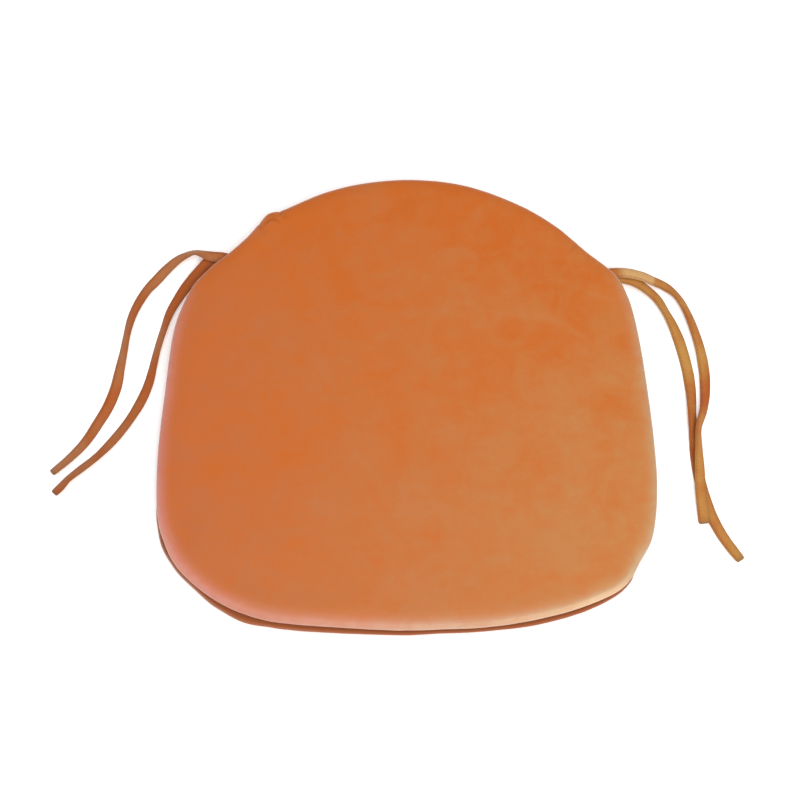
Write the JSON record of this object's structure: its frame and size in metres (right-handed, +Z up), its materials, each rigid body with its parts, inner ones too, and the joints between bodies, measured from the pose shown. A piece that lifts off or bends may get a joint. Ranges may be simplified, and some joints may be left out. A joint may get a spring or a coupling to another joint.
{
  "type": "chair pad",
  "caption": "D-shaped velvet chair pad with a soft rolled edge, a seam around its side and narrow flat ties at each back corner.",
  "frame": {"origin": "middle of the pad's underside, halfway across its width and depth, on the surface it rests on", "axes": "+X across the pad's width, -Y towards its straight front edge, +Z up through the pad"},
  "size_m": [0.6013, 0.4142, 0.03],
  "materials": {
    "velvet": "short pile velvet, apricot",
    "tie_velvet": "short pile velvet, apricot"
  },
  "bodies": {
    "root": {"pad": "velvet", "tie_left_upper": "tie_velvet", "tie_left_lower": "tie_velvet", "tie_right_front": "tie_velvet", "tie_right_inner": "tie_velvet"}
  },
  "joints": []
}
